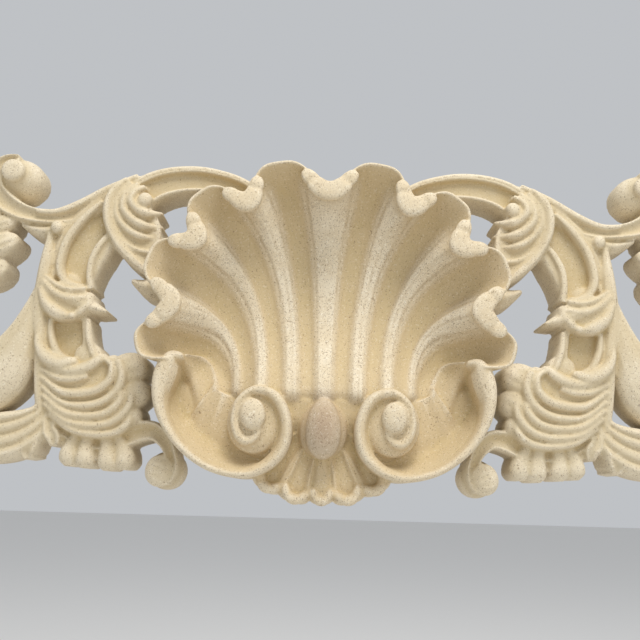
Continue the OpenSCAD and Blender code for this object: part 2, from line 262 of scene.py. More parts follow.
def shell_height(u, v, shell, floor):
    """Height of the bowl: two parabolas that meet at its lowest line, with the ribs and their fine
    lines added. The hinge falls at both sides to the floor of the ears."""
    low, high = shell.bowl_height / MM, shell.rim_height / MM
    hinge = shell.hinge_height / MM
    hinge = hinge + (floor - hinge) * smooth((np.abs(u) - 2.2) / 1.1)
    share = 0.45
    eased = 0.5 * (v + np.sqrt(v * v + 0.0016))
    inner = low + (hinge - low) * np.clip(1 - eased / share, 0, 1) ** 2
    outer = low + (high - low) * np.clip((v - share) / (1 - share), 0, 1) ** 2
    bowl = np.where(v < share, inner, outer)
    rise = shell.rib_rise / MM * 0.9
    fade = rib_fade(v)
    w = np.abs(u - np.round(u))
    return (bowl + rise * fade * (rib_top(u, v) - 0.35) - rise * 0.4 * fade * smooth((w - 0.2) / 0.3)
            - 1.5 * fade * rib_line(u, v)
            - (7 - 4 * smooth((np.abs(u) - 2.0) / 0.8)) * smooth(-v / 0.07))


def bowl_body(shell, floor):
    """The fluted bowl, with a thin rounded edge beyond the rim."""
    half = FLUTES / 2 - 0.08
    u, v = np.meshgrid(np.linspace(-half, half, 60 * FLUTES + 1), np.linspace(-0.07, 1.0, 100), indexing="ij")
    place = flutes(u, v, shell)
    front = np.concatenate([place, shell_height(u, v, shell, floor)[..., None]], -1)
    out = rim_out(u[:, -1], shell)
    high = shell.rim_height / MM
    for step, rise in ((1.3, 0.9), (2.8, 0.7), (3.8, -1.2), (4.2, -3.5)):
        ring = np.concatenate([place[:, -1] + out * step, np.full((len(out), 1), high + rise)], -1)
        front = np.concatenate([front, ring[:, None]], axis=1)
    return body(front, 0.1, (0.0, -10.0))


def lip_body(n, shell):
    """Rolled lip at rib n: a roll inside the rim's edge, widest in its middle, with a fold each side."""
    reach = 0.25
    s = np.linspace(-reach, reach, 60)
    k = s / reach
    fold = bump(np.abs(k) - 0.6, 0.07)
    wide = (shell.lip_radius / MM + 1.6) * (1 - 0.48 * k**2) * (1 - 0.1 * fold)
    u = n + s
    place = rim(u, shell) - rim_out(u, shell) * (wide - 2.5)[:, None]
    high = shell.rim_height / MM + 3.2 - 2.2 * k**2 - 0.8 * fold
    return tube(np.concatenate([place, high[:, None]], 1), wide, 5.5 - 1.0 * k**2 - 0.8 * fold, 3.0)


# ---- Ears, volutes, boss and palmette ----

EAR = [
    [136, -44, 3, 0.90], [146, -47, 8, 1.0], [152, -62, 10.5, 1.02], [155, -84, 7.5, 1.02],
    [149, -106, 5.5, 1.0], [133, -128, 5, 0.98], [108, -146, 4.5, 0.96], [79, -152.5, 5, 0.94],
    [56, -146.5, 6, 0.94], [40, -130, 6.8, 0.96], [36, -107, 6.8, 0.97], [45, -84, 6.8, 0.97],
    [63, -75.5, 6, 0.95], [78, -85, 5.5, 0.95], [83, -101, 5.4, 0.95], [80.5, -114, 6, 0.95],
    [73.5, -121.5, 6.4, 0.95], [65, -118.5, 6, 0.94], [61, -110.5, 5, 0.93], [63, -104, 3.5, 0.92]
]
EAR_ROLL = [[-1, -13], [-0.8, -8], [-0.45, -2.6], [0.1, 0], [0.55, -0.5], [0.85, -3.2], [1, -8]]


def ear_dish(settings, shell):
    """Hollow of the ear: straight lines from the rolled rim to the shell's last rib and on to the
    volute. The height drops from the rim into a groove, crosses a broad soft rib in the upper part,
    and ends at the height of the line that it meets."""
    floor = settings.ear_floor / MM
    edge = curve(np.asarray(EAR)[1:9, :2], 120)
    v = np.linspace(0.97, 0.0, 70)
    u = np.full(70, FLUTES / 2 - 0.1)
    rib = flutes(u, v, shell)
    rest = curve([rib[-1], [86, -82], [76, -98], [62, -116]], 51)[1:]
    inner = np.concatenate([rib, rest])
    last = shell_height(u, v, shell, floor)
    fall = smooth(np.linspace(0, 1, 50) / 0.3)
    last = np.concatenate([last, last[-1] + (floor - 2.5 - last[-1]) * fall])[:, None]
    t = np.linspace(0.0, 1.0, 60)
    flat = edge[:, None] + (inner - edge)[:, None] * t[None, :, None]
    s = np.linspace(0.0, 1.0, 120)[:, None]
    crossed = smooth(t / 0.5)
    low = np.maximum(last, floor + 8 * smooth((s - 0.6) / 0.3)) * crossed + last * (1 - crossed)
    low = np.where(s < 0.5, last, low)
    high = settings.ear_height / MM - 9
    h = low + (high - low) * (1 - smooth(t / 0.4)) ** 1.5
    fade = smooth(s / 0.12) * (1 - smooth((s - 0.34) / 0.3))
    h = h + fade * (9.0 * bump(t - 0.62, 0.17) - 3.0 * bump(t - 0.33, 0.1))
    return body(np.concatenate([flat, h[..., None]], -1))


def ear_bodies(settings, shell):
    """Rolled rim that runs round the ear and winds into its volute, the hollow, the volute's floor and
    the knob at its heart."""
    high = settings.ear_height / MM
    rows = [[x, y, half, share * high] for x, y, half, share in EAR]
    knob_x, knob_y = settings.knob_half_width / MM, settings.knob_half_height / MM
    return [
        band(rows, EAR_ROLL, 31, 0.9),
        ear_dish(settings, shell),
        lump(67, -98, knob_x, knob_y, high + 1, 8, -8, 2.6),
        lump(65, -104, 27, 31, 0.88 * high, 10, 0, 4),
        lump(56, -127, 20, 12, 0.76 * high, 8),
    ]


def throat_body(settings):
    """Body behind the hinge, the volutes and the petals: straight lines from the hinge down to the
    palmette's outline."""
    half = [[150, -80], [130, -108], [104, -132], [66, -154], [34, -167], [0, -168]]
    lower = half + [[-x, y] for x, y in half[-2::-1]]
    upper = [[x, -36 - 11 * (x / 150) ** 2] for x in np.linspace(150, -150, 11)]
    floor = settings.ear_floor / MM
    heights = [[0, floor - 22], [0.25, floor - 13], [0.5, floor - 4], [1, floor - 2]]
    return sheet(upper, lower, heights, 25, 120)


def boss_bodies(settings):
    """Egg-shaped boss, the slope that it sits on, and a lower rounded collar close round it."""
    x, y = np.meshgrid(np.linspace(-50, 50, 40), np.linspace(-82, -146, 40), indexing="ij")
    slope = 66 - 10 * smooth((-y - 92) / 46) - 5 * bump(np.abs(x) - 30, 6) * smooth((-y - 100) / 20)
    high = settings.boss_height / MM
    p, q = disc(49)
    r = np.clip(np.hypot(p, q), 0, 1)
    half_x, half_y = settings.boss_half_width / MM, settings.boss_half_height / MM
    egg = high - 17 * (1 - np.sqrt(np.clip(1 - r**2.3, 0, 1))) - 3 * smooth(q)
    boss = np.stack([p * (1 - 0.1 * q) * (half_x + 1), -109 + q * half_y, egg], -1)
    low = high - 12 - 18 * (1 - np.sqrt(np.clip(1 - r**3, 0, 1))) - 4 * smooth(q)
    collar = np.stack([p * (1 - 0.12 * q) * (half_x + 7.5), -107 + q * (half_y + 1), low], -1)
    return [body(np.stack([x, y, slope], -1)[::-1]), body(boss), body(collar)]


def petal(k, settings):
    """Petal k of the palmette: it leaves the boss at k times the spread and bends a little inwards;
    two rolled edges run down it and meet in a rolled tip, and the middle petal is rounded."""
    angle = settings.petal_spread * k
    bend = math.radians(-3.0 * k)
    reach = settings.petal_length / MM * (1 + 0.055 * abs(k))
    high = settings.petal_height / MM - 1.5 * abs(k)
    half = settings.petal_half_width / MM * (0.86 if k == 0 else 1.12)
    s = np.array([0, 0.2, 0.42, 0.62, 0.78, 0.88, 0.95, 0.99])
    wide = half * np.array([0.5, 0.56, 0.66, 0.82, 1.0, 1.0, 0.86, 0.55])
    way = angle + bend * s
    x = 8 * k + np.sin(way) * reach * s
    y = -118 + 1.5 * k * k - np.cos(way) * reach * s
    edge = [[-1, -8], [-0.9, -1.2], [-0.74, 1], [-0.52, -2.6], [-0.3, -4.6], [-0.1, -3.4], [0, -4.8],
            [0.1, -3.4], [0.3, -4.6], [0.52, -2.6], [0.74, 1], [0.9, -1.2], [1, -8]]
    drop = np.array([-3, 0, 1, 0.5, 0, 0.6, 1.8, 4.5])
    rows = np.stack([x, y, wide, high - drop], 1)
    bodies = [band(rows, ROUND if k == 0 else edge, 31, 0.9)]
    end = np.array([x[-1], y[-1]])
    out = np.array([math.sin(angle + bend), -math.cos(angle + bend)])
    side = np.array([-out[1], out[0]])
    a = np.linspace(-1.0, 1.0, 40)
    arc = end + side * (a * half * 0.84)[:, None] - out * (3.5 + 12 * a**2)[:, None]
    folds = bump(np.abs(a) - 0.45, 0.08)
    height = high - 0.6 - 1.6 * a**2 - 0.8 * folds
    middle = np.concatenate([arc, height[:, None]], 1)
    bodies.append(tube(middle, 5.4 - 1.6 * a**2 - 0.6 * folds, 6.4 - 1.2 * a**2))
    return bodies


# ---- Wings, drawn for +x ----


def channel(outer, sink):
    """Section of a channelled band whose outer edge is on the left of the path: a sloping rim of
    that share of the width, a groove, a bead, the sunk panel, and a bead above the inner wall."""
    o = 1 - outer
    return [
        [-1, -7], [-0.97, -3], [-0.9, -0.6], [-0.8, 0], [-0.72, -0.8], [-0.66, -sink], [-0.6, -sink - 0.4],
        [o - 0.24, -sink - 0.4], [o - 0.18, -sink + 0.4], [o - 0.13, -0.6], [o - 0.07, 0], [o - 0.02, -1.2],
        [o + 0.02, -2.6], [o + 0.07, -0.8], [o + 0.2, 0], [0.8, -1.6], [0.94, -4.2], [1, -8],
    ]


def arch_bodies(wing):
    """Channelled band that springs from behind the shell and arches over to the shoulder."""
    h, sink = wing.band_height / MM, wing.panel_sink / MM
    rows = [[55, 108, 12, h - 6], [88, 136, 13.5, h - 3], [120, 146, 14.5, h], [150, 147.5, 15.5, h],
            [180, 140, 17, h], [207, 121, 19, h]]
    return [band(rows, channel(0.42, sink), 61, 1.0)]


def trunk_bodies(wing):
    """The trunk: the same channelled band, wider, falling to the root of the large leaf, with the
    rounded ends of its two panels."""
    h, sink = wing.band_height / MM, wing.panel_sink / MM
    rows = [[206, 124, 18, h + 1], [230, 103, 26, h + 1], [249, 76, 30, h + 0.5], [259, 51, 28, h],
            [266, 25, 28, h], [264, 0, 26, h], [259, -30, 24, h], [258, -60, 22, h - 1],
            [264, -92, 17, h - 2], [268, -112, 10, h - 4]]
    smooth_rim = [[284, 84, 4, h], [285, 60, 7, h + 3], [287, 30, 8, h + 4], [288, 0, 8, h + 4],
                  [284, -30, 6.5, h + 4], [282, -60, 6, h + 4], [279, -86, 6, h + 3], [276, -108, 5, h]]
    seam = [[233, 118, 2.5, h + 4], [250, 101, 4.5, h + 5], [265, 78, 5, h + 5], [271, 52, 5, h + 4.5],
            [266, 36, 4.5, h + 4.5], [255, 29, 4, h + 4], [246, 30, 2, h + 2]]
    inner = [[218, 90, 2.5, h + 3], [230, 75, 4, h + 4.5], [238, 58, 4.5, h + 4.5], [240, 40, 4, h + 4],
             [238, 26, 3.5, h + 3]]
    second = [[275, -6, 2.5, h + 3], [273, -24, 3.5, h + 4], [266, -40, 4, h + 4.5], [256, -46, 3, h + 3]]
    right = [[238, -4, 2.5, h + 2], [236, -22, 3.5, h + 3.5], [231, -38, 3.5, h + 3.5], [226, -46, 3, h + 2]]
    return [band(rows, channel(0.42, sink), 81, 0.9)] + [
        band(line, BEAD, 15) for line in (smooth_rim, seam, inner, second, right)
    ]


def upper_scroll_bodies(wing):
    """Branch from the shoulder to the upper scroll, closing on its ball, and the pointed leaf below."""
    h = wing.band_height / MM
    section = [[-1, -8], [-0.9, -2.5], [-0.74, 0], [-0.58, -1.6], [-0.4, -4], [0, -5.2], [0.4, -4],
               [0.6, -1.8], [0.76, 0], [0.9, -2.5], [1, -8]]
    branch = [[192, 143, 9, h - 2], [216, 131, 12, h - 1], [240, 117, 12, h], [262, 106, 10, h + 1],
              [283, 101.5, 8, h + 2], [302, 103, 8.5, h + 2], [320, 108, 10, h + 2], [336, 118, 11.5, h + 2],
              [346, 131, 11, h + 2], [347, 149, 9, h + 3], [338, 161, 6.5, h + 3], [324, 165, 4, h + 2]]
    leaf = [[258, 98, 5, h], [272, 91, 9, h + 1], [288, 87.5, 8, h], [302, 89, 5.5, h - 1],
            [316, 94, 1.5, h - 4]]
    top = [[199, 149, 3, h], [228, 134, 4.5, h + 2], [256, 117, 4.5, h + 3], [280, 107, 3.5, h + 3],
           [300, 107.5, 2.5, h + 3]]
    ball = wing.upper_ball / MM
    return [
        band(branch, section, 41, 0.8),
        band(top, BEAD, 15),
        band(leaf, SOFT),
        lump(277, 90, 6.5, 7, h + 7, 6),
        lump(327, 147, 25, 23, h + 6, 32, 0, 1.3),
        lump(327, 149, ball, ball, h + 9, 5, 0, 4),
    ]


def hanging_leaf_bodies(wing):
    """Leaf that hangs from the upper scroll, with a round lobe at each fold."""
    h = wing.band_height / MM
    rows = [[352, 116, 10, h - 2], [362, 88, 18, h], [361, 56, 18, h - 1], [349, 30, 10, h - 5]]
    lobes = [(338, 92, 17, 10, 2), (336, 70, 21, 12, 4), (345, 44, 20, 14, 1)]
    veins = [[[338, 104, 2, h - 1], [352, 92, 4.5, h + 5], [364, 74, 4, h + 4], [368, 58, 2, h - 2]],
             [[336, 82, 2, h], [350, 72, 5, h + 6], [361, 56, 4.5, h + 4], [362, 42, 2, h - 3]],
             [[334, 58, 2, h - 1], [346, 52, 5, h + 5], [354, 40, 4.5, h + 2], [353, 28, 2, h - 4]]]
    return [band(rows, SOFT, 31)] + [
        lump(x, y, a, b, h + rise, 9, -30, grooves=1.6) for x, y, a, b, rise in lobes
    ] + [band(v, FINGER, 17) for v in veins]


def clasp_bodies(wing):
    """Leaf that clasps the arch: a broad rim on its outer side, fingers that curl towards the shell,
    and the smooth hollow below them."""
    h = wing.band_height / MM + wing.leaf_rise / MM
    rim_line = [[208, 143, 4, h - 5], [218, 133, 6, h - 2], [224, 118, 7, h], [224, 101, 7, h],
                [218, 84, 6.5, h - 1], [208, 69, 6, h - 2], [196, 57, 5.5, h - 3], [182, 46, 4.5, h - 4]]
    cup = sheet([[214, 138], [222, 122], [224, 104], [218, 84], [206, 68], [188, 52]],
                [[196, 130], [182, 112], [173, 97], [171, 82], [172, 66], [176, 48]],
                [[0, h - 2], [0.2, h - 7], [0.6, h - 10], [1, h - 9]])
    fingers = [
        [[190, 136, 3, h - 6], [199, 129, 5, h - 1], [202, 119, 6, h + 1], [195, 110, 6.5, h + 1],
         [184, 106, 6, h], [171, 109, 1.5, h - 12]],
        [[197, 139, 3, h - 6], [208, 127, 4.5, h - 2], [210, 112, 5.5, h], [201, 100, 6.5, h],
         [187, 93, 6, h - 1], [170, 94, 1.5, h - 13]],
        [[205, 140, 2.5, h - 6], [216, 124, 3.5, h - 3], [217, 106, 4.5, h - 2], [207, 91, 5.5, h - 2],
         [190, 82, 5.5, h - 3], [169, 82, 1.5, h - 14]],
        [[216, 92, 2, h - 7], [209, 78, 3, h - 5], [197, 69, 3.5, h - 5], [183, 66, 3.5, h - 6],
         [170, 68, 2.5, h - 9]],
    ]
    return [band(rim_line, [[-1, -9], [-0.6, -3.5], [0, -0.5], [0.5, 0], [0.85, -3], [1, -8]], 21), cup,
            lump(189, 120, 7.5, 8.5, h + 1, 7, 20, 2.6)] + [band(f, FINGER, 21, 0.9) for f in fingers]


def collar_bodies(wing):
    """Sheath round the trunk: folds at its top, two pointed tips, and the hooked lobe below it."""
    h = wing.band_height / MM + wing.leaf_rise / MM
    folds = [
        [[286, 34, 3, h - 4], [274, 22, 5, h - 1], [258, 15, 6, h], [242, 16, 5, h - 1], [234, 20, 2, h - 8]],
        [[288, 26, 3, h - 4], [280, 10, 7, h], [267, 0, 8, h + 1], [252, -4, 4, h - 2]],
        [[240, 22, 3, h - 5], [238, 13, 6, h - 2], [243, 4, 6.5, h - 0.5], [252, -4, 4, h - 2]],
        [[262, 17, 8, h - 1], [247, 12, 9, h - 1], [233, 7, 6, h - 3], [219, 3, 1.2, h - 6]],
        [[284, 38, 2.5, h - 5], [270, 28, 3.5, h - 2], [256, 24, 4, h - 1], [242, 26, 3, h - 3]],
    ]
    hook = [[287, -18, 2.5, h - 6], [284, -32, 5, h - 2], [276, -44, 7, h + 1], [262, -51, 7.5, h + 2],
            [250, -49, 6, h + 1], [245, -46, 3, h - 3]]
    plate = sheet([[288, 32], [266, 32], [250, 30], [240, 20]], [[284, 6], [266, 0], [252, 0], [241, 4]],
                  [[0, h - 5], [0.5, h - 4], [1, h - 6]])
    return [plate] + [band(f, FINGER, 21) for f in folds] + [
        band(hook, ROUND, 21),
        lump(252, -3, 4.5, 4, h + 1, 5),
        lump(236, -42, 14, 14, h - 9, 5),
        lump(264, 32, 14, 12, h - 12, 5),
    ]


SPRAY = [
    [[282, -42, 3, -5], [268, -53, 6, -1], [250, -58, 7, 1], [234, -54, 7, 1], [222, -46, 6, 0],
     [216, -41, 3, -5]],
    [[280, -56, 3, -5], [262, -65, 5, -1], [246, -66, 5, 0], [232, -62, 4, -2]],
    [[279, -64, 3, -5], [258, -78, 5, 0], [240, -80, 6, 1], [222, -76, 6, 2], [210, -66, 6, 3],
     [208, -53, 5.5, 3],
     [216, -46, 3, -2]],
    [[277, -74, 3, -5], [256, -89, 4, -1], [236, -92, 5, 1], [217, -88, 5.5, 2], [203, -77, 6, 3],
     [198, -62, 6, 4], [203, -46, 5, 2]],
    [[276, -82, 3, -5], [254, -98, 5, 0], [232, -102, 5.5, 1], [213, -99, 5.5, 2], [201, -90, 5.5, 3],
     [197, -79, 4.5, 1], [201, -71, 3, -4]],
    [[274, -90, 3, -5], [252, -106, 4.5, -0.5], [229, -111, 5, 1], [208, -108, 5.5, 2], [194, -98, 5.5, 3],
     [188, -85, 5, 2], [190, -74, 4, -1]],
    [[268, -100, 3, -5], [246, -114, 4, -1], [224, -119, 4.5, 0], [203, -117, 4.5, 1], [190, -108, 4.5, 2],
     [187, -98, 3, -2]],
]


def spray_bodies(wing):
    """Large leaf: fingers sweep from the trunk towards the shell, and the longest curl over round
    lobes at their ends."""
    h = wing.band_height / MM + wing.leaf_rise / MM
    web = sheet([[284, -34], [264, -46], [242, -50], [224, -44], [208, -40]],
                [[270, -100], [250, -114], [224, -122], [202, -120], [186, -108]],
                [[0, h - 8], [0.5, h - 6], [1, h - 9]], 31, 80)
    fingers = [band([[x, y, w, h + rise] for x, y, w, rise in rows], FINGER, 21, 0.9) for rows in SPRAY]
    return [
        web, *fingers,
        lump(197, -56, 23, 18, h - 0.5, 14, -30, 2.4, 1.0),
        lump(188, -79, 17, 14.5, h - 1, 12, -30, 2.4, 1.0),
        lump(189, -101, 12, 11, h - 2, 9, -30, 2.4),
    ]


def lower_scroll_bodies(wing):
    """Stem that carries on below the large leaf, hollow between two edges, and rolls up round its ball."""
    h = wing.band_height / MM
    rows = [[266, -106, 7, h - 1], [244, -120, 7, h], [218, -127, 7, h + 1], [196, -123, 9, h + 2],
            [180, -115.5, 10.5, h + 3], [166, -114, 9.5, h + 4], [154, -123, 7.5, h + 5],
            [147, -137, 6, h + 5],
            [145, -151, 5, h + 5], [151, -164, 4, h + 4]]
    section = [[-1, -7], [-0.88, -1.4], [-0.74, 0], [-0.5, -3.5], [0, -6], [0.5, -3.5], [0.74, 0],
               [0.88, -1.4], [1, -7]]
    ball = wing.lower_ball / MM
    return [
        band(rows, section, 41, 0.9),
        lump(157, -152, ball + 1, ball + 2.5, h + 6, 6, 15, 5),
        lump(158, -153, ball - 3, ball - 1.5, h + 9, 5, 15, 3, 1.0),
        lump(155, -151, 19, 19, h - 8, 26, 0, 1.6),
    ]


def lower_lobe_bodies(wing):
    """Fingers that hang below the stem in two pairs, and the two leaf tips beside them."""
    h = wing.band_height / MM
    bodies = []
    for x, y, high in ((193, -140, 3), (208.5, -141.5, 4), (231, -139.5, 3.5), (246.5, -138, 2)):
        rows = [[x + 0.3 * (222 - x), -118, 6, h + high - 1], [x + 0.1 * (222 - x), -128, 8, h + high],
                [x, y, 10, h + high + 1.5], [x, y - 7, 9.4, h + high], [x, y - 12, 5, h + high - 4]]
        bodies.append(band(rows, ROUND, 25, 1.2))
    for tip_x, tip_y, high in ((262, -131, 2), (286, -144, 0)):
        rows = [[268, -96, 5, h + high], [(268 + tip_x) / 2 + 2, -114, 8, h + high + 1.5],
                [tip_x + 1, tip_y + 9, 8.5, h + high + 1], [tip_x, tip_y, 5, h + high - 3]]
        bodies.append(band(rows, TWO_RIDGED, 25, 1.0))
    bodies.append(sheet([[186, -116], [186, -140]], [[256, -112], [254, -140]], [[0, h - 4], [1, h - 4]]))
    return bodies


def outer_leaf_bodies(wing):
    """Broad smooth leaf that flares off the trunk, with long shallow grooves near its top edge."""
    h = wing.band_height / MM
    rows = [[286, 38, 6, h], [293, 8, 11, h + 2], [304, -26, 19, h + 4], [322, -58, 29, h + 5],
            [350, -78, 29, h + 4], [382, -87, 21, h + 1], [410, -87, 11, h - 4], [429, -83, 3, h - 9]]
    section = [[-1, -14], [-0.85, -8], [-0.55, -2.6], [-0.1, 0], [0.3, -0.4], [0.42, -2], [0.5, -0.8],
               [0.62, -1.4], [0.7, -3.4], [0.78, -1.6], [0.9, -4], [1, -9]]
    return [band(rows, section, 61, 0.8)]


def end_scroll_bodies(wing):
    """Lower leaf, with long grooves from its root, that runs on to the end scroll."""
    h = wing.band_height / MM
    rows = [[266, -88, 11, h + 1], [280, -107, 17, h + 3], [303, -120, 23, h + 4], [333, -125, 24, h + 3],
            [366, -121, 20, h + 1], [398, -108, 16, h - 1], [424, -88, 13, h - 2], [436, -64, 11, h - 2],
            [433, -46, 8, h - 2], [418, -37, 5.5, h - 2], [405, -45, 3.5, h - 3]]
    section = [[-1, -10], [-0.9, -4], [-0.76, -1], [-0.6, -1.5], [-0.48, -4.6], [-0.34, -1.2], [-0.2, -0.6],
               [-0.06, -1.6], [0.04, -4.8], [0.16, -1.4], [0.32, 0], [0.44, -1.2], [0.53, -4.4], [0.62, -1],
               [0.78, 0], [0.9, -3], [1, -9]]
    ball = wing.end_ball / MM
    return [
        band(rows, section, 81, 0.8),
        lump(418, -55, ball, ball, h + 3, 8),
        lump(418, -55, ball + 8, ball + 8, h - 12, 14),
    ]


def backing_tip_bodies(wing):
    """Leaf tip that peeps out from behind the shell's rim."""
    h = wing.band_height / MM
    return [band([[150, 32, 13, h], [176, 31, 12, h + 1], [188, 33, 7, h + 1], [198, 37, 2, h - 1]], SOFT)]


# ---- One skin, its attributes and its stone ----


def gather(name, bodies):
    """Joins closed bodies into one loose mesh object, stood upright: X is x, Y is minus h, Z is y."""
    points, faces, start = [], [], 0
    for p, f in bodies:
        points.append(p)
        faces.append(f + start)
        start += len(p)
    p = np.concatenate(points) * MM
    q = np.concatenate(faces)
    p = np.stack([p[:, 0], -p[:, 2], p[:, 1]], axis=1)
    mesh = bpy.data.meshes.new(name)
    mesh.from_pydata(p.tolist(), [], q.tolist())
    made = bpy.data.objects.new(name, mesh)
    bpy.context.collection.objects.link(made)
    LOOSE[name] = made
    return made


def finished(source, name):
    """Mesh of an object with its modifiers applied."""
    graph = bpy.context.evaluated_depsgraph_get()
    mesh = bpy.data.meshes.new_from_object(source.evaluated_get(graph), depsgraph=graph)
    mesh.name = name
    return mesh


def vertex_array(mesh, what="co"):
    """Places of the mesh's vertices, or their normals, as one array of rows."""
    out = np.empty(len(mesh.vertices) * 3)
    mesh.vertices.foreach_get(what, out)
    return out.reshape(-1, 3)


def spread(values, edges, times):
    """Average of each point and its neighbours along the edges, taken that many times."""
    count = np.bincount(edges.ravel(), minlength=len(values)).astype(float) + 1
    for _ in range(times):
        total = values.copy()
        for k in range(values.shape[1]):
            total[:, k] += np.bincount(edges[:, 0], values[edges[:, 1], k], len(values))
            total[:, k] += np.bincount(edges[:, 1], values[edges[:, 0], k], len(values))
        values = total / count[:, None]
    return values


def flute_map(shell):
    """Maps of the rib tops and of the lines beside them, where shade is painted, on a 1 mm grid, and of
    where the shell is: samples of the shell's surface are dropped into the cells they fall in and averaged."""
    half = FLUTES / 2
    u, v = np.meshgrid(np.linspace(-half, half, 1400), np.linspace(-0.07, 1, 750), indexing="ij")
    place = flutes(u, v, shell)
    tops = smooth((rib_top(u, v) - 0.3) / 0.6) * rib_fade(v)
    lines = rib_line(u, v) * rib_fade(v)
    i = np.clip((place[..., 0] + 220).astype(int), 0, 439)
    j = np.clip((place[..., 1] + 220).astype(int), 0, 439)
    cell = (i * 440 + j).ravel()
    count = np.bincount(cell, minlength=440 * 440)
    inside = (count > 0).astype(float)
    maps = [np.bincount(cell, m.ravel(), 440 * 440) / np.maximum(count, 1) for m in (tops, lines)]
    return [m.reshape(440, 440) for m in (*maps, inside)]


def read_map(grid, x, y):
    """Value of a 1 mm map at points, blended between the four cells round each."""
    fx, fy = np.clip(x + 219.5, 0, 438.99), np.clip(y + 219.5, 0, 438.99)
    i, j = fx.astype(int), fy.astype(int)
    a, b = fx - i, fy - j
    return (grid[i, j] * (1 - a) * (1 - b) + grid[i + 1, j] * a * (1 - b)
            + grid[i, j + 1] * (1 - a) * b + grid[i + 1, j + 1] * a * b)


def inside_ring(x, y, ring, centre, soft):
    """One inside a ring of points seen from a centre, easing to nought over a soft width: each
    point's distance from the centre is set against the ring's at the same angle."""
    d = ring - centre
    angle, far = np.arctan2(d[:, 1], d[:, 0]), np.hypot(d[:, 0], d[:, 1])
    order = np.argsort(angle)
    limit = np.interp(np.arctan2(y - centre[1], x - centre[0]), angle[order], far[order], period=2 * np.pi)
    return smooth((limit - np.hypot(x - centre[0], y - centre[1])) / soft + 0.5)


def mark(mesh, shell):
    """Stores what the stone reads: worn, the rubbed high places; wash, the depth of the hollows; line,
    the fine lines beside the ribs, where shade is painted; shell, the warmer middle of the cast; boss, its
    browner knob; and facing and low, how far a face turns to the front and how near it lies to the back,
    which set the painted shade on the side walls."""
    p = vertex_array(mesh)
    n = vertex_array(mesh, "normal")
    edges = np.empty(len(mesh.edges) * 2, int)
    mesh.edges.foreach_get("vertices", edges)
    edges = edges.reshape(-1, 2)
    x, y, h = p[:, 0] / MM, p[:, 2] / MM, -p[:, 1] / MM
    near = ((p - spread(p, edges, 4)) * n).sum(1) / MM
    wide = ((p - spread(p, edges, 30)) * n).sum(1) / MM
    relief = spread((near * 0.9 + wide * 0.35)[:, None], edges, 1)[:, 0]

    u = np.linspace(-4, 4, 400)
    rim_ring = np.concatenate([rim(u, shell), [[100, -75], [0, -80], [-100, -75]]])
    in_shell = inside_ring(x, y, rim_ring, np.array([0.0, 0.0]), 5)
    ear = curve(np.asarray(EAR)[:11, :2], 200)
    for side in (1, -1):
        ring = ear * [side, 1]
        in_shell = np.maximum(in_shell, inside_ring(x, y, ring, np.array([side * 95.0, -98.0]), 8))
    in_shell *= smooth((h - 20) / 15)
    in_shell = np.maximum(in_shell, smooth((h - 62) / 8))
    in_shell = np.maximum(in_shell, smooth((75 - np.abs(x)) / 10) * smooth((-y - 60) / 10))

    ribs, lines, known = flute_map(shell)
    fluted = smooth((n[:, 1] * -1 - 0.3) / 0.3) * read_map(known, x, y) * (1 - smooth((h - 86) / 3))
    fluted *= 1 - smooth((-y - 78) / 10) * smooth((np.abs(x) - 36) / 6)
    rib = read_map(ribs, x, y) * fluted
    # the fine lines beside the ribs, where shade is painted into the colour
    line = read_map(lines, x, y) * fluted
    lips = smooth((h - 88.5) / 4) * 0.6
    knobs = np.maximum(bump(np.hypot((np.abs(x) - 70) / 17, (y + 104) / 25), 0.85), 0)
    worn = np.clip(np.maximum(np.maximum(rib, lips), knobs * 0.8) * in_shell, 0, 1)
    worn = np.maximum(worn, smooth((relief - 0.35) / 1.4) * 0.8)
    ear_rims = smooth((h - 80) / 4) * smooth((np.abs(x) - 34) / 4) * smooth((-y - 50) / 6)
    worn = np.maximum(worn, ear_rims * 0.6)
    boss = bump(np.hypot(x / 19, (y + 108) / 31), 0.9) * smooth((h - 60) / 12)
    # facing and low only set the painted shade on the side walls: darker where a face turns from the front
    # and lies near the back
    facing = np.clip(-n[:, 1], 0, 1)
    wash = np.clip(-relief / 2.2, 0, 1)
    low = smooth((44 - h) / 44)
    for name, value in (("worn", worn), ("wash", wash), ("line", line), ("shell", in_shell),
                        ("boss", boss), ("facing", facing), ("low", low)):
        layer = mesh.attributes.new(name, "FLOAT", "POINT")
        layer.data.foreach_set("value", value.astype(np.float32))


class Nodes:
    """Short hand for adding nodes to one material and joining them."""

    def __init__(self, tree):
        self.tree = tree

    def add(self, kind, inputs=None, **values):
        """One node: values are its own settings, inputs are links or constants."""
        node = self.tree.nodes.new(kind)
        for key, value in values.items():
            setattr(node, key, value)
        for key, value in (inputs or {}).items():
            if isinstance(value, bpy.types.NodeSocket):
                self.tree.links.new(value, node.inputs[key])
            else:
                node.inputs[key].default_value = value
        return node

    def attribute(self, name):
        """A value that mark stored at each vertex."""
        return self.add("ShaderNodeAttribute", attribute_name=name).outputs["Fac"]

    def math(self, operation, a, b=None, clamp=False):
        """One sum of a, or of a and b."""
        inputs = {0: a} if b is None else {0: a, 1: b}
        return self.add("ShaderNodeMath", inputs, operation=operation, use_clamp=clamp).outputs[0]

    def noise(self, place, scale, detail=2.0, rough=0.5):
        """Soft random patches; a higher scale makes them smaller."""
        inputs = {"Vector": place, "Scale": scale, "Detail": detail, "Roughness": rough}
        return self.add("ShaderNodeTexNoise", inputs).outputs["Fac"]

    def grade(self, value, low, high):
        """Nought below low, one above high, and an eased step between them."""
        inputs = {"Value": value, "From Min": low, "From Max": high, "To Min": 0.0, "To Max": 1.0}
        return self.add("ShaderNodeMapRange", inputs, interpolation_type="SMOOTHSTEP").outputs[0]

    def mix(self, share, a, b):
        """Colour a given way to colour b by the share."""
        inputs = {0: share, 6: a, 7: b}
        return self.add("ShaderNodeMix", inputs, data_type="RGBA").outputs[2]


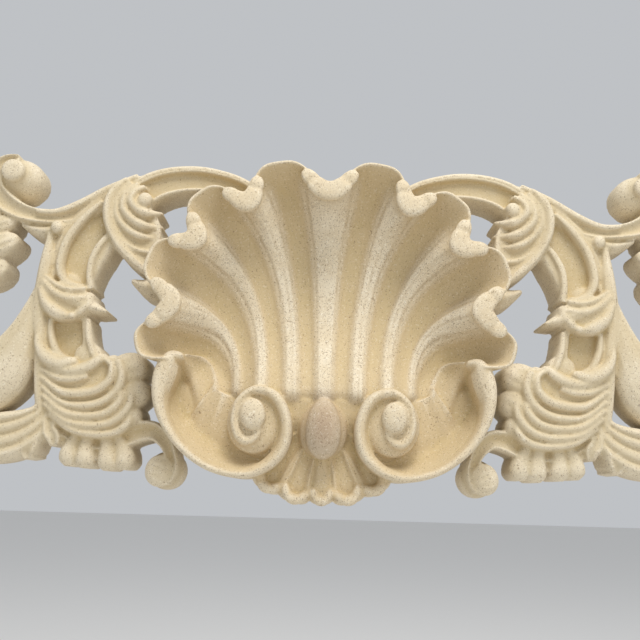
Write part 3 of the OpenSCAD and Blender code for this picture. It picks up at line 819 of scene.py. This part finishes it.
def stone_material(stone):
    """Cast stone: cream, warmer over the shell, golden in the hollows, paler and speckled where it is
    rubbed, with dark and light grains and a fine pitted surface. Shade is painted darker along the fine
    lines beside the ribs and on side walls turned away from the front, low down near the back."""
    material = bpy.data.materials.new("Cast stone")
    material.use_nodes = True
    tree = material.node_tree
    tree.nodes.clear()
    k = Nodes(tree)
    place = k.add("ShaderNodeTexCoord").outputs["Object"]
    worn, wash, shell = k.attribute("worn"), k.attribute("wash"), k.attribute("shell")
    boss, low, facing, line = (k.attribute(name) for name in ("boss", "low", "facing", "line"))

    cloud = k.grade(k.noise(place, 9.0, 4.0, 0.6), 0.3, 0.7)
    patch = k.grade(k.noise(place, 42.0, 3.0, 0.6), 0.35, 0.65)
    body_colour = k.mix(shell, tuple(stone.wing_colour) + (1,), tuple(stone.shell_colour) + (1,))
    body_colour = k.mix(k.math("MULTIPLY", cloud, 0.35), body_colour, tuple(stone.warm_colour) + (1,))
    hollow_share = k.math("MULTIPLY", wash, k.math("ADD", k.math("MULTIPLY", patch, 0.4), 0.6), clamp=True)
    body_colour = k.mix(hollow_share, body_colour, tuple(stone.hollow_colour) + (1,))
    worn_edge = k.math("MULTIPLY", worn, k.math("ADD", k.math("MULTIPLY", patch, 0.35), 0.62), clamp=True)
    body_colour = k.mix(worn_edge, body_colour, tuple(stone.worn_colour) + (1,))
    body_colour = k.mix(k.math("MULTIPLY", boss, 0.6), body_colour, tuple(stone.boss_colour) + (1,))
    # painted shade: darker in patches along the fine lines beside the ribs
    groove_shade_share = k.math("MULTIPLY", line, k.math("ADD", k.math("MULTIPLY", patch, 0.55), 0.2))
    body_colour = k.mix(groove_shade_share, body_colour, tuple(stone.painted_shade_colour) + (1,))
    # painted shade: side walls turned away from the front are darker low down near the back
    side = k.math("MULTIPLY", k.math("SUBTRACT", 1.0, facing), 0.35, clamp=True)
    body_colour = k.mix(k.math("MULTIPLY", side, low), body_colour, tuple(stone.painted_shade_colour) + (1,))

    fine = k.noise(place, 880.0, 1.0, 0.5)
    coarse = k.noise(place, 420.0, 1.0, 0.5)
    more = k.math("ADD", k.math("MULTIPLY", worn, 0.045), k.math("MULTIPLY", shell, 0.015))
    dark = k.grade(k.math("ADD", fine, more), 0.655, 0.72)
    pits = k.grade(k.math("ADD", coarse, k.math("MULTIPLY", worn, 0.02)), 0.70, 0.76)
    grains = k.math("MAXIMUM", dark, pits)
    light = k.grade(k.noise(place, 560.0, 1.0, 0.5), 0.60, 0.70)
    light_share = k.math("MULTIPLY", light, k.math("ADD", k.math("MULTIPLY", worn, 0.35), 0.22))
    colour = k.mix(light_share, body_colour, tuple(stone.grain_colour) + (1,))
    colour = k.mix(k.math("MULTIPLY", boss, 0.45), colour, tuple(stone.boss_colour) + (1,))
    colour = k.mix(k.math("MULTIPLY", grains, 0.58), colour, tuple(stone.speck_colour) + (1,))

    rough = k.noise(place, 260.0, 4.0, 0.65)
    height = k.math("SUBTRACT", k.math("MULTIPLY", rough, 0.8), k.math("MULTIPLY", grains, 0.45))
    relief = k.add("ShaderNodeBump", {"Height": height, "Strength": 0.45, "Distance": 0.0012})
    shader = k.add("ShaderNodeBsdfPrincipled", {
        "Base Color": colour, "Roughness": 0.88, "Specular IOR Level": 0.25, "Normal": relief.outputs[0],
    })
    out = k.add("ShaderNodeOutputMaterial")
    tree.links.new(shader.outputs[0], out.inputs[0])
    return material


# ---- Settings ----


def length(name, text, value):
    """A setting in metres."""
    return bpy.props.FloatProperty(name=name, description=text, default=value, unit="LENGTH", precision=4)


def colour(name, text, value):
    """A colour setting."""
    return bpy.props.FloatVectorProperty(
        name=name, description=text, default=value, subtype="COLOR", size=3, min=0.0, max=1.0
    )


class PEDIMENT_shell_settings(bpy.types.PropertyGroup):
    """Sizes of the shell"""

    rim_half_width: length("Rim half width", "Half width of the rim at the middle of its scallops", 0.168)
    rim_rise: length("Rim rise", "Rise of the rim above its widest line", 0.150)
    rim_fall: length("Rim fall", "Fall of the rim below its widest line", 0.095)
    scallop: length("Scallop", "Depth from the mean rim to a lobe or a lip", 0.012)
    rim_height: length("Rim height", "Height of the rim off the back", 0.088)
    bowl_height: length("Bowl height", "Height of the bowl's lowest line off the back", 0.038)
    hinge_height: length("Hinge height", "Height of the line that the flutes start from", 0.072)
    rib_rise: length("Rib rise", "Rise of a rib above the flutes beside it", 0.005)
    lip_radius: length("Lip radius", "Radius of the rolled lips between the lobes", 0.0085)


class PEDIMENT_centre_settings(bpy.types.PropertyGroup):
    """Sizes of the ears, boss and palmette"""

    ear_height: length("Ear height", "Height of the ears' rolled rim off the back", 0.086)
    ear_floor: length("Ear floor", "Height of the hollow inside an ear", 0.050)
    knob_half_width: length("Knob half width", "Half width of the knob in a volute", 0.0125)
    knob_half_height: length("Knob half height", "Half height of the knob in a volute", 0.0155)
    boss_half_width: length("Boss half width", "Half width of the egg-shaped boss", 0.016)
    boss_half_height: length("Boss half height", "Half height of the egg-shaped boss", 0.029)
    boss_height: length("Boss height", "Height of the boss off the back", 0.090)
    petal_length: length("Petal length", "Length of a petal from the boss to its tip", 0.062)
    petal_half_width: length("Petal half width", "Half width of a petal near its tip", 0.014)
    petal_height: length("Petal height", "Height of the petals off the back", 0.062)
    petal_spread: bpy.props.FloatProperty(
        name="Petal spread", description="Angle between neighbouring petals", default=math.radians(21.0),
        subtype="ANGLE"
    )


class PEDIMENT_wing_settings(bpy.types.PropertyGroup):
    """Sizes of the wings"""

    band_height: length("Band height", "Height of the channelled bands off the back", 0.045)
    panel_sink: length("Panel sink", "Depth of the sunk panel in a band", 0.007)
    leaf_rise: length("Leaf rise", "How far the leaves stand above the bands", 0.010)
    upper_ball: length("Upper ball", "Radius of the ball in the upper scroll", 0.012)
    lower_ball: length("Lower ball", "Radius of the ball in the lower scroll", 0.013)
    end_ball: length("End ball", "Radius of the ball in the end scroll", 0.011)


class PEDIMENT_stone_settings(bpy.types.PropertyGroup):
    """Fineness of the cast skin and colours of the stone"""

    grain: length("Skin grain", "Size of the cells that the forms are cast in", 0.00125)
    triangles: bpy.props.IntProperty(
        name="Triangles", description="Most triangles in the skin", default=194000
    )
    shell_colour: colour("Shell", "Body colour of the shell", (0.60, 0.48, 0.30))
    wing_colour: colour("Wings", "Body colour of the wings", (0.62, 0.53, 0.365))
    warm_colour: colour("Warm patches", "Colour of the warm clouds in the stone", (0.61, 0.48, 0.29))
    hollow_colour: colour("Hollows", "Golden colour of the hollows", (0.54, 0.42, 0.22))
    worn_colour: colour("Worn places", "Pale colour of the rubbed high places", (0.75, 0.66, 0.50))
    boss_colour: colour("Boss", "Browner colour of the boss", (0.36, 0.25, 0.165))
    # painted shade colour: the shade painted low on the side walls and along the fine lines beside the ribs
    painted_shade_colour: colour("Sides", "Duller colour low on the side walls", (0.44, 0.33, 0.19))
    grain_colour: colour("Light grains", "Colour of the light grains", (0.88, 0.82, 0.68))
    speck_colour: colour("Dark grains", "Colour of the dark grains", (0.22, 0.14, 0.08))


class PEDIMENT_stage_settings(bpy.types.PropertyGroup):
    """Floor, light and camera"""

    floor_drop: length("Floor drop", "How far the floor lies below the middle of the shell", 0.55)
    floor_colour: colour("Floor", "Colour of the floor", (0.80, 0.79, 0.77))
    lens: bpy.props.FloatProperty(name="Lens", description="Focal length in millimetres", default=47.8)


SETTINGS = (
    ("pediment_shell", PEDIMENT_shell_settings),
    ("pediment_centre", PEDIMENT_centre_settings),
    ("pediment_wing", PEDIMENT_wing_settings),
    ("pediment_stone", PEDIMENT_stone_settings),
    ("pediment_stage", PEDIMENT_stage_settings),
)


# ---- Operators ----


class PEDIMENT_OT_shell(bpy.types.Operator):
    """Add the fluted shell and its rolled lips"""

    bl_idname = "pediment.add_shell"
    bl_label = "Shell"

    def execute(self, context):
        shell = context.scene.pediment_shell
        floor = context.scene.pediment_centre.ear_floor / MM
        lips = [lip_body(n, shell) for n in range(1 - FLUTES // 2, FLUTES // 2)]
        gather("shell", [bowl_body(shell, floor), *lips])
        return {"FINISHED"}


class PEDIMENT_OT_ears(bpy.types.Operator):
    """Add the two ears with their volutes"""

    bl_idname = "pediment.add_ears"
    bl_label = "Ears and volutes"

    def execute(self, context):
        bodies = ear_bodies(context.scene.pediment_centre, context.scene.pediment_shell)
        gather("ears", bodies + mirrored(bodies))
        return {"FINISHED"}


class PEDIMENT_OT_palmette(bpy.types.Operator):
    """Add the boss and the five petals below it"""

    bl_idname = "pediment.add_palmette"
    bl_label = "Boss and palmette"

    def execute(self, context):
        centre = context.scene.pediment_centre
        bodies = [throat_body(centre)] + boss_bodies(centre)
        for k in range(-2, 3):
            bodies += petal(k, centre)
        gather("palmette", bodies)
        return {"FINISHED"}


class PEDIMENT_OT_wings(bpy.types.Operator):
    """Add the two pierced acanthus wings"""

    bl_idname = "pediment.add_wings"
    bl_label = "Wings"

    def execute(self, context):
        wing = context.scene.pediment_wing
        forms = (arch_bodies, trunk_bodies, upper_scroll_bodies, hanging_leaf_bodies, clasp_bodies,
                 collar_bodies, spray_bodies, lower_scroll_bodies, lower_lobe_bodies, outer_leaf_bodies,
                 end_scroll_bodies, backing_tip_bodies)
        bodies = [b for form in forms for b in form(wing)]
        gather("wings", bodies + mirrored(bodies))
        return {"FINISHED"}


class PEDIMENT_OT_cast(bpy.types.Operator):
    """Cast the loose forms into one skin, mark it and give it its stone"""

    bl_idname = "pediment.cast"
    bl_label = "Cast in one piece"

    def execute(self, context):
        stone = context.scene.pediment_stone
        forms = list(LOOSE.values())
        mesh = bpy.data.meshes.new("all forms")
        points, faces, start = [], [], 0
        for form in forms:
            points.append(vertex_array(form.data))
            corners = np.empty(len(form.data.loops), int)
            form.data.loops.foreach_get("vertex_index", corners)
            faces.append(corners.reshape(-1, 4) + start)
            start += len(points[-1])
        mesh.from_pydata(np.concatenate(points).tolist(), [], np.concatenate(faces).tolist())
        rough = bpy.data.objects.new("rough cast", mesh)
        context.collection.objects.link(rough)
        fuse = rough.modifiers.new("fuse", "REMESH")
        fuse.mode = "VOXEL"
        fuse.voxel_size = stone.grain
        fuse.adaptivity = 0.0
        soften = rough.modifiers.new("soften", "SMOOTH")
        soften.factor = 0.5
        soften.iterations = 2
        dense = finished(rough, "dense")
        flat = vertex_array(dense)
        flat[flat[:, 1] > -0.0007, 1] = 0.0
        dense.vertices.foreach_set("co", flat.ravel())
        dense.update()
        cast = bpy.data.objects.new("pediment_section_stone", dense)
        context.collection.objects.link(cast)
        thin = cast.modifiers.new("thin", "DECIMATE")
        thin.ratio = min(1.0, stone.triangles / (2.0 * len(dense.polygons)))
        thin.use_collapse_triangulate = True
        skin = finished(cast, "pediment_section_stone")
        cast.modifiers.clear()
        cast.data = skin
        for form in forms + [rough]:
            bpy.data.objects.remove(form)
        LOOSE.clear()
        skin.polygons.foreach_set("use_smooth", np.ones(len(skin.polygons), bool))
        mark(skin, context.scene.pediment_shell)
        skin.materials.clear()
        skin.materials.append(stone_material(stone))
        print("skin:", len(dense.polygons), "cells ->", len(skin.polygons), "triangles")
        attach(cast, "root")
        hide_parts(NODE)
        return {"FINISHED"}


class PEDIMENT_OT_stage(bpy.types.Operator):
    """Add the floor, the soft light and the camera"""

    bl_idname = "pediment.add_stage"
    bl_label = "Stage"

    def execute(self, context):
        stage = context.scene.pediment_stage
        scene = context.scene
        size = 12.0
        mesh = bpy.data.meshes.new("floor")
        z = -stage.floor_drop
        mesh.from_pydata([(-size, -size, z), (size, -size, z), (size, size, z), (-size, size, z)], [],
                         [(0, 1, 2, 3)])
        floor = bpy.data.objects.new("floor", mesh)
        scene.collection.objects.link(floor)
        material = bpy.data.materials.new("Pale floor")
        material.use_nodes = True
        shader = material.node_tree.nodes["Principled BSDF"]
        shader.inputs["Base Color"].default_value = tuple(stage.floor_colour) + (1,)
        shader.inputs["Roughness"].default_value = 0.9
        mesh.materials.append(material)

        world = bpy.data.worlds.new("Studio")
        world.use_nodes = True
        world.node_tree.nodes["Background"].inputs["Color"].default_value = (0.93, 0.96, 1.0, 1)
        world.node_tree.nodes["Background"].inputs["Strength"].default_value = 0.56
        scene.world = world
        for name, place, width, power in (
            ("key", (0.25, -1.15, 1.9), 1.1, 44.0),
            ("fill", (1.1, -1.9, 0.5), 1.6, 7.0),
        ):
            lamp = bpy.data.lights.new(name, "AREA")
            lamp.shape = "SQUARE"
            lamp.size = width
            lamp.energy = power
            lamp.color = (1.0, 0.985, 0.96)
            light = bpy.data.objects.new(name, lamp)
            light.location = place
            light.rotation_mode = "QUATERNION"
            light.rotation_quaternion = (-Vector(place)).to_track_quat("-Z", "Y")
            scene.collection.objects.link(light)

        lens = bpy.data.cameras.new("camera")
        lens.lens = stage.lens
        lens.sensor_width = 36.0
        lens.clip_start = 0.05
        camera = bpy.data.objects.new("camera", lens)
        look = Vector((0.0, math.cos(math.radians(11.5)), math.sin(math.radians(11.5))))
        level = look.to_track_quat("-Z", "Y").to_matrix()
        roll = Matrix.Rotation(math.radians(1.6), 3, "Z")
        camera.matrix_world = (
            Matrix.Translation((-0.00589, -0.880, -0.16887)) @ (level @ roll).to_4x4()
        )
        scene.collection.objects.link(camera)
        scene.camera = camera
        scene.view_settings.view_transform = "Standard"
        return {"FINISHED"}


class PEDIMENT_PT_panel(bpy.types.Panel):
    """Lists the sizes, the colours and the operators"""

    bl_idname = "PEDIMENT_PT_panel"
    bl_label = "Pediment section"
    bl_space_type = "VIEW_3D"
    bl_region_type = "UI"
    bl_category = "Pediment"

    def draw(self, context):
        for operator in OPERATORS:
            self.layout.operator(operator.bl_idname)
        for name, group in SETTINGS:
            box = self.layout.box()
            for prop in group.__annotations__:
                box.prop(getattr(context.scene, name), prop)


OPERATORS = (
    PEDIMENT_OT_shell, PEDIMENT_OT_ears, PEDIMENT_OT_palmette, PEDIMENT_OT_wings, PEDIMENT_OT_cast,
    PEDIMENT_OT_stage,
)
CLASSES = tuple(group for _, group in SETTINGS) + OPERATORS + (PEDIMENT_PT_panel,)


def register():
    """Adds the settings, the operators and the panel."""
    for cls in CLASSES:
        bpy.utils.register_class(cls)
    for name, group in SETTINGS:
        setattr(bpy.types.Scene, name, bpy.props.PointerProperty(type=group))


def unregister():
    """Takes them away again."""
    for name, _ in SETTINGS:
        delattr(bpy.types.Scene, name)
    for cls in reversed(CLASSES):
        bpy.utils.unregister_class(cls)


def main():
    """Builds every form, casts them into one skin and sets the stage."""
    register()
    bpy.ops.pediment.add_shell()
    bpy.ops.pediment.add_ears()
    bpy.ops.pediment.add_palmette()
    bpy.ops.pediment.add_wings()
    bpy.ops.pediment.cast()
    bpy.ops.pediment.add_stage()


if __name__ == "__main__":
    main()
